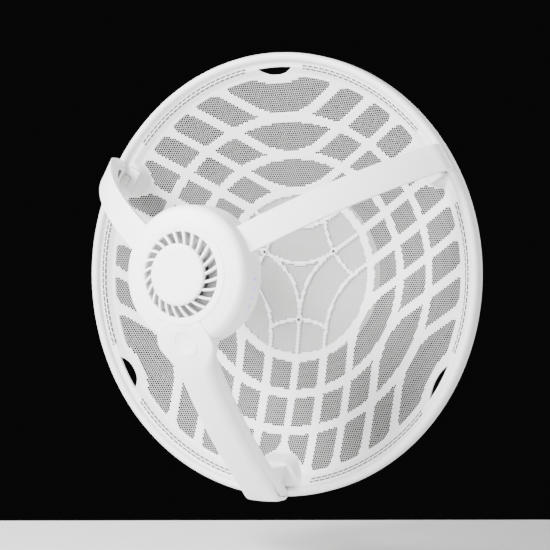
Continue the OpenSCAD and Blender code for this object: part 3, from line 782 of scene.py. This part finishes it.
def build_latch(number, angle):
    """A small spring latch on a side arm's toe, with a thin dark ring round it: painted shade of a groove."""
    turn = turned(angle)
    groove = [(178.7, -3.2), (187.4, -3.2), (187.4, 7.0), (178.7, 7.0)]
    tongue = [(179.4, -2.5), (186.4, -2.5), (186.4, 6.3), (179.4, 6.3)]
    # the ring is a flat slab in dark vent_shade grey: painted shade of a groove; the tongue takes the darker
    # pad grey: painted shade
    ring = prism(f"latch_groove_shade_{number}", groove, TOE_TOP - 0.2, TOE_TOP + 0.1, MATS["shade"], turn)
    block = prism(f"latch_tongue_{number}", tongue, TOE_TOP - 0.1, TOE_TOP + 1.2, MATS["pad"], turn)
    bevel(block, 0.3, 2, 40)
    return ring, block


for number, angle in enumerate(FEET[:2]):
    for piece in build_latch(number + 1, angle):
        own(piece, "dish_head", "white_plastic", "foot_clips")
own(build_side_arm("arm_right_shell", FEET[0]), "dish_head", "white_plastic", "arm_right")
own(build_side_arm("arm_left_shell", FEET[1]), "dish_head", "white_plastic", "arm_left")


def cover_path():
    """Side view of the cable cover's outer face: down the hub's shoulder, along the arm and over the rim."""
    head = [(38.0, 150.1), (42.0, 149.3), (48.0, 147.4), (56.0, 144.3), (63.0, 141.3), (70.0, 137.8),
            (80.0, 132.3)]
    arm_part = [(r, arm_z(LOW_C, LOW_R + COVER_OUT, r)) for r in np.linspace(92, 194, 9)]
    foot = [(198.6, 21.6), (201.2, 17.6), (202.2, 12.6), (202.3, 7.0), (202.3, 0.8)]
    return spline(head + arm_part + foot, 10)


def cover_half(r):
    """Half of the cover's width at a radius: a flared head on a parallel body."""
    return np.interp(r, (38, 54, 58, 62, 66, 72, 78, 84, 92),
                     (18.2, 26.2, 27.0, 26.8, 25.2, 21.8, 18.8, 17.0, COVER_HALF))


def seat_z(r):
    """Height of the sloping floor under the cover's head."""
    return HUB_FRONT - 4.0 - (r - VENT_R) * 0.7395


def head_z(path, r):
    """Height of the cover's outer face at a radius on its head."""
    return float(np.interp(r, path[:60, 0], path[:60, 1]))


def cover_section(r, z):
    """The cover's cross-section at a point of its path, as pairs of width and height over the path."""
    half = float(cover_half(r)) if z > 60 else COVER_HALF
    shoulder = float(np.interp(r, (58, 88), (1.4, COVER_SHOULDER)))
    deep = float(np.interp(r, (61, 190, 199), (COVER_SKIRT, COVER_SKIRT, 4.5)))
    if r < 59:
        deep = (z - seat_z(r) - 0.8) * 0.9
    shoulder = min(shoulder, deep - 0.8)
    inner = half - shoulder
    crown = [(w * inner, 0.5 * (1 - w * w)) for w in np.linspace(-1, 1, 17)]
    side = [(inner + shoulder * math.sin(t), -shoulder * (1 - math.cos(t)))
            for t in np.radians(np.linspace(0, 90, 9)[1:])]
    side += [(half, -shoulder - (deep - shoulder) * t) for t in (0.5, 1.0)]
    return [(-w, h) for w, h in side[::-1]] + crown + side


def build_cover():
    """The cable cover: a crowned shell with round shoulders, a flared head and a thumb dimple."""
    place = side_place(FEET[2])
    path = cover_path()
    step = np.gradient(path, axis=0)
    step /= np.linalg.norm(step, axis=1)[:, None]
    normal = np.stack([-step[:, 1], step[:, 0]], -1)
    normal *= np.where(normal[:, 1] < -0.2, -1, 1)[:, None]
    rows = []
    for (r, z), (nr, nz) in zip(path, normal):
        row = []
        for w, h in cover_section(r, z):
            if r > 60:
                row.append(place(r + nr * h, z + nz * h, w))
            else:
                start = math.sqrt(COVER_TOP_R**2 - w * w)
                head_r = start + (60 - start) * (r - path[0, 0]) / (60 - path[0, 0])
                row.append(place(head_r + nr * h * 0.5, head_z(path, head_r) + nz * h, w))
        rows.append(row)
    obj = plate("cable_cover_shell", rows, COVER_T, MATS["shell"])
    bevel(obj, 0.15, 2, 50)
    tilt = math.radians(DIMPLE_TILT)
    cutter = ball_object("dimple_cutter", place(DIMPLE_AT, DIMPLE_Z, 0), DIMPLE_R, MATS["shell"], 96,
                         (1, 0.14, 1 / math.cos(tilt)), tilt)
    cut(obj, cutter)
    shade(obj, 40)
    return obj


def build_crescent():
    """A thin raised crescent beside the thumb dimple, following the cover's slope."""
    path = cover_path()
    outline = arc((0, -DIMPLE_AT), DIMPLE_R + 3.6, -96, -16, 24)
    outline += arc((-0.7, 0.7 - DIMPLE_AT), DIMPLE_R + 3.4, -14, -98, 24)
    return prism("cover_crescent", outline, -0.4, 0.95, MATS["shell"],
                 lambda x, y, h: (x, y, head_z(path, -y) + h))


# ---------------------------------------------------------------- radio housing
def head_outline(grow):
    """Front view of the cover's head, as points right and up, grown by a gap."""
    top = COVER_TOP_R - grow
    w0 = 18.2 + grow
    a = math.degrees(math.asin(w0 / top))
    edge = arc((0, 0), top, -90 - a, -90 + a, 24)
    right = [(float(cover_half(r)) + grow, -r) for r in (48, 54, 58, 62, 66, 72, 90)]
    return edge + right + [(-x, y) for x, y in right[::-1]]


def build_front_cover():
    """The radio's front cover: a deep round shell with a soft shoulder, open round the vents."""
    outer = [(HUB_R - 0.25, SEAM_Z - 1.2), (HUB_R, SEAM_Z - 1.2), (HUB_R, SEAM_Z + 2)]
    outer += arc((HUB_R - 8, HUB_FRONT - 11.4), 8, 0, 72, 14)
    outer += spline([(HUB_R - 5.5, 146.2), (47.5, 147.9), (43.4, 148.9)], 6)[1:].tolist()
    outer += spline([(42.6, 149.15), (41.6, 149.75), (40.2, HUB_FRONT), (38.3, HUB_FRONT)], 4).tolist()
    outer += [(37.7, HUB_FRONT - 0.15), (37.4, HUB_FRONT - 0.6), (37.4, HUB_FRONT - 4.5)]
    inner = [(39.5, HUB_FRONT - 4.5), (43, 146.4), (50.4, 144.0), (53.6, 141.6), (55.5, 138),
             (55.6, SEAM_Z + 0.3), (HUB_R - 0.25, SEAM_Z + 0.3)]
    obj = revolve("radio_front_shell", outer + inner, MATS["shell"], 256, 30)
    cutter = prism("head_cutter", head_outline(0.35), 100, 170, MATS["recess"])
    cut(obj, cutter)
    bevel(obj, 0.25, 2, 60)
    shade(obj, 35)
    return obj


def build_recess_floor():
    """The sunk seat in the housing that the cover's head slides on."""
    place = side_place(FEET[2])
    near, far = COVER_TOP_R - 0.8, HUB_R - 0.6
    rows = []
    for t in np.linspace(0, 1, 20):
        half = float(cover_half(near + 0.2 + t * (far - near - 0.2))) + 0.7
        row = []
        for x in np.linspace(-half, half, 25):
            start = math.sqrt(near**2 - x * x)
            r = start + t * (math.sqrt(far**2 - x * x) - start)
            row.append(place(r, seat_z(r), x))
        rows.append(row)
    obj = plate("cover_seat", rows, 1.6, MATS["shell"])
    shade(obj, 40)
    return obj


def build_cheeks():
    """The housing's wall under the head of the cover."""
    a = math.degrees(math.asin(29.5 / HUB_R))
    outline = arc((0, 0), HUB_R - 0.1, -90 - a, -90 + a, 40)
    outline += arc((0, 0), HUB_R - 2.3, -90 + a, -90 - a, 40)
    return prism("radio_front_wall", outline, SEAM_Z + 0.3, 129.6, MATS["shell"])


def build_rear_cover():
    """The radio's rear cover: a shallow dish-facing shell that steps in to the feed lens."""
    outer = [(14.2, 97.6)] + arc((16, 99.6), 2.0, 250, 285, 4)
    outer += spline([(18, 98.2), (28, 100.9), (40, 105.6), (49, 109.9), (55, 115.4)], 6).tolist()
    outer += arc((55.0, 118.2), 3.0, -20, 0, 4) + [(HUB_R, 119.4), (HUB_R, SEAM_Z - 1.3)]
    inner = [(55.6, SEAM_Z - 1.3), (55.4, 119.6), (47.6, 112.2), (27.4, 103.3), (14.2, 100.0)]
    return revolve("radio_rear_shell", outer + inner, MATS["shell"], 192, 35)


def build_disc():
    """The blank front disc of the grille, with a soft rounded edge."""
    profile = [(0, DISC_FRONT), (12, DISC_FRONT), (20, DISC_FRONT - 0.05)]
    profile += spline([(22.6, DISC_FRONT - 0.15), (24.4, DISC_FRONT - 0.6), (25.6, DISC_FRONT - 1.5),
                       (DISC_R, DISC_FRONT - 2.8)], 5).tolist()
    profile += [(DISC_R, DISC_FRONT - 4.6), (0, DISC_FRONT - 4.6)]
    return revolve("grille_disc", profile, MATS["shell"], 192, 40)


def build_vent_bars():
    """The swirling bars between the disc and the vent's outer ring."""
    section = ((-1, -BAR_DEPTH), (-1, -0.9), (-0.86, -0.35), (-0.5, -0.06), (0, 0), (0.5, -0.06),
               (0.86, -0.35), (1, -0.9), (1, -BAR_DEPTH))
    m = len(section)
    bars = []
    for k in range(VENTS):
        rings = []
        for t in np.linspace(0, 1, 9):
            r = DISC_R - 1.2 + t * (VENT_R + 0.6 - DISC_R + 1.2)
            a = math.radians(360 / VENTS * k + VENT_SWEEP * t)
            z = DISC_FRONT - 2.0 - 4.2 * t**1.35
            half = 1.15 + 0.3 * t
            c, s = math.cos(a), math.sin(a)
            rings.append([(r * c - w * half * s, r * s + w * half * c, z + h) for w, h in section])
        bar = loft(f"bar_{k}", rings, MATS["shell"])
        bar.data.materials.append(MATS["mesh"])
        # the bar's deep sides take the darker mesh grey: painted shade in the slots
        sides = [int(j in (0, m - 2, m - 1)) for i in range(len(rings) - 1) for j in range(m)]
        bar.data.polygons.foreach_set("material_index", sides + [0, 0])
        bars.append(bar)
    obj = join("grille_bars", bars)
    shade(obj, 50)
    return obj


def build_vent_ring():
    """The thin outer ring of the grille."""
    profile = [(35.5, 145.6), (35.5, 149.2), (35.8, 149.7), (36.3, 149.92), (37.0, 149.97), (37.6, 149.9),
               (37.6, 145.6)]
    return revolve("grille_ring", profile, MATS["shell"], 192, 40)


def build_baffle():
    """A plain shelf behind the vents, sloping back to their outer edge, in dark grey: painted shade in the
    slots.
    """
    profile = [(22.0, 141.0), (37.3, 145.4), (37.3, 144.4), (22.0, 140.0)]
    return revolve("grille_baffle", profile, MATS["shade"], 192)


def build_screw_heads():
    """Three low screws in the bowl, each with a black disc in its socket: painted shade."""
    heads, sockets = [], []
    for k, angle in enumerate(FEET):
        at = turned(angle)(SCREW_RING_R, 0, 0)[:2]
        z = bowl_z(SCREW_RING_R)
        head = [(0, z + 0.5), (1.5, z + 0.5), (1.5, z + 1.2), (1.9, z + 1.35), (2.5, z + 1.15),
                (2.8, z + 0.4), (1.6, z + 0.4), (1.6, z - 9), (0, z - 9)]
        # a black disc at the socket's floor: painted shade in the socket
        socket = [(0, z + 0.75), (1.45, z + 0.75), (1.45, z + 0.55), (0, z + 0.55)]
        heads.append(revolve(f"dish_screw_{k + 1}", head, MATS["rim"], 48, 35, at))
        sockets.append(revolve(f"dish_screw_socket_{k + 1}", socket, MATS["black"], 48, 35, at))
    return heads, sockets


def build_leds():
    """Four small domed lamps in the housing's wall."""
    lamps = []
    for k, angle in enumerate(LED_ANGLES):
        a = math.radians(angle)
        centre = ((HUB_R - 0.5) * math.cos(a), (HUB_R - 0.5) * math.sin(a), LED_Z)
        lamps.append(ball_object(f"led_{k + 1}", centre, LED_R, MATS["led"], 24))
    return lamps


own(build_front_cover(), "dish_head", "white_plastic", "radio_front_cover")
own(build_recess_floor(), "dish_head", "white_plastic", "radio_front_cover")
own(build_cheeks(), "dish_head", "white_plastic", "radio_front_cover")
own(build_rear_cover(), "dish_head", "white_plastic", "radio_rear_cover")
for piece in (build_disc(), build_vent_bars(), build_vent_ring(), build_baffle()):
    own(piece, "dish_head", "white_plastic", "vent_grille")
for piece in build_leds():
    own(piece, "dish_head", "led_plastic", "led_light_pipes")
own(build_cover(), "cover", "white_plastic", "cable_cover")
own(build_crescent(), "cover", "white_plastic", "cable_cover")
screw_heads, screw_sockets = build_screw_heads()
for piece in screw_heads + screw_sockets:
    own(piece, "dish_head", "steel", "hub_plate_screws")


# ---------------------------------------------------------------- rounded copies of cast CAD parts
def rounded_copy(node, name, body, mat, slot, width):
    """A CAD part with its hard edges rounded by a width, standing for that part."""
    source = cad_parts[node]
    mesh = source.data.copy()
    mesh.name = name
    mesh.materials.clear()
    mesh.materials.append(MATS[mat])
    obj = bpy.data.objects.new(name, mesh)
    bpy.context.scene.collection.objects.link(obj)
    bm = bmesh.new()
    bm.from_mesh(mesh)
    bmesh.ops.remove_doubles(bm, verts=bm.verts, dist=1e-6)
    bmesh.ops.dissolve_limit(bm, angle_limit=math.radians(0.6), verts=bm.verts, edges=bm.edges)
    bmesh.ops.recalc_face_normals(bm, faces=bm.faces)
    bm.to_mesh(mesh)
    bm.free()
    bevel(obj, width, 2, 32)
    own(obj, body, slot, node)


rounded_copy("arm_bottom", "arm_bottom_shell", "dish_head", "shell", "white_plastic", 0.25)
for node, name, body in (("rear_hub_plate", "rear_plate_shell", "dish_head"),
                         ("swivel_bracket", "swivel_casting", "swivel"),
                         ("pole_bracket", "pole_bracket_casting", "pole_mount"),
                         ("clamp_jaw", "clamp_jaw_casting", "jaw")):
    rounded_copy(node, name, body, "bracket", "cast_bracket", 0.8)

FINISHES = {
    "steel": ("foot_screws", "cover_screws", "tilt_bolt", "tilt_nut", "tilt_lock_bolt", "swing_bolt",
              "swing_nut", "clamp_bolts", "clamp_washers", "clamp_nuts", "ground_screw", "rf_shield"),
    "sink": ("heat_sink",),
    "board": ("main_board",),
    "laminate": ("antenna_module",),
    "lens": ("feed_lens",),
    "rubber": ("cover_gasket", "cable_grommet"),
    "black": ("ethernet_jack", "reset_switch", "reset_button"),
}
for finish, names in FINISHES.items():
    for node_name in names:
        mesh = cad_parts[node_name].data
        mesh.materials.clear()
        mesh.materials.append(MATS[finish])


# ---------------------------------------------------------------- stage, light and camera
def build_floor():
    """A plain pale floor well under the part."""
    a = math.radians(CAMERA_AZ)
    side, away = Vector((math.cos(a), math.sin(a), 0)), Vector((-math.sin(a), math.cos(a), 0))
    mid = Vector((DISH_X * MM, RIM_Y * MM, FLOOR_Z))
    verts = [mid + side * x + away * y for x, y in ((-1.6, -1.3), (1.6, -1.3), (1.6, 0.27), (-1.6, 0.27))]
    paint = material("floor_paint", (0.62, 0.62, 0.615), 0.7, grain=0.2, grain_scale=200, mottle=0.03,
                     mottle_scale=3)
    new_object("floor", verts, [(0, 1, 2, 3)], paint)


def area_light(name, place, size, power, aim):
    """A soft square lamp aimed at a point."""
    lamp = bpy.data.lights.new(name, "AREA")
    lamp.size = size
    lamp.energy = power
    obj = bpy.data.objects.new(name, lamp)
    obj.location = place
    obj.rotation_euler = (Vector(aim) - Vector(place)).to_track_quat("-Z", "Y").to_euler()
    bpy.context.scene.collection.objects.link(obj)


def build_world():
    """Soft grey light all round; straight views of it are near black."""
    world = bpy.data.worlds.new("studio")
    bpy.context.scene.world = world
    world.use_nodes = True
    nt = world.node_tree
    back = nt.nodes["Background"]
    path = nt.nodes.new("ShaderNodeLightPath")
    mix = nt.nodes.new("ShaderNodeMix")
    mix.data_type = "FLOAT"
    mix.inputs["A"].default_value = 0.5
    mix.inputs["B"].default_value = 0.004
    nt.links.new(path.outputs["Is Camera Ray"], mix.inputs["Factor"])
    back.inputs["Color"].default_value = (1, 1, 1, 1)
    nt.links.new(mix.outputs["Result"], back.inputs["Strength"])


def build_camera():
    """A long lens to the right of the dish's front, level with its centre."""
    distance, lens, roll = 1.4816, 107.82, -0.1
    target = Vector((0.07721, -0.146, -0.00058))
    a = math.radians(CAMERA_AZ)
    place = target + distance * Vector((math.sin(a), -math.cos(a), math.tan(math.radians(0.05))))
    data = bpy.data.cameras.new("camera")
    data.lens = lens
    data.sensor_width = 36
    data.clip_start = 0.01
    obj = bpy.data.objects.new("camera", data)
    turn = (target - place).to_track_quat("-Z", "Y").to_matrix() @ Matrix.Rotation(math.radians(roll), 3, "Z")
    obj.matrix_world = Matrix.Translation(place) @ turn.to_4x4()
    bpy.context.scene.collection.objects.link(obj)
    bpy.context.scene.camera = obj


build_world()
build_floor()
build_camera()
centre = (DISH_X * MM, RIM_Y * MM, 0.0)
for name, place, size, power in (("key", (-0.75, -1.5, 1.0), 0.7, 150), ("low", (0.3, -1.7, -0.1), 0.9, 44),
                                 ("fill", (1.4, -0.7, 0.3), 0.9, 8), ("back", (0.5, 1.3, 0.6), 1.0, 18)):
    area_light(name, place, size, power, centre)
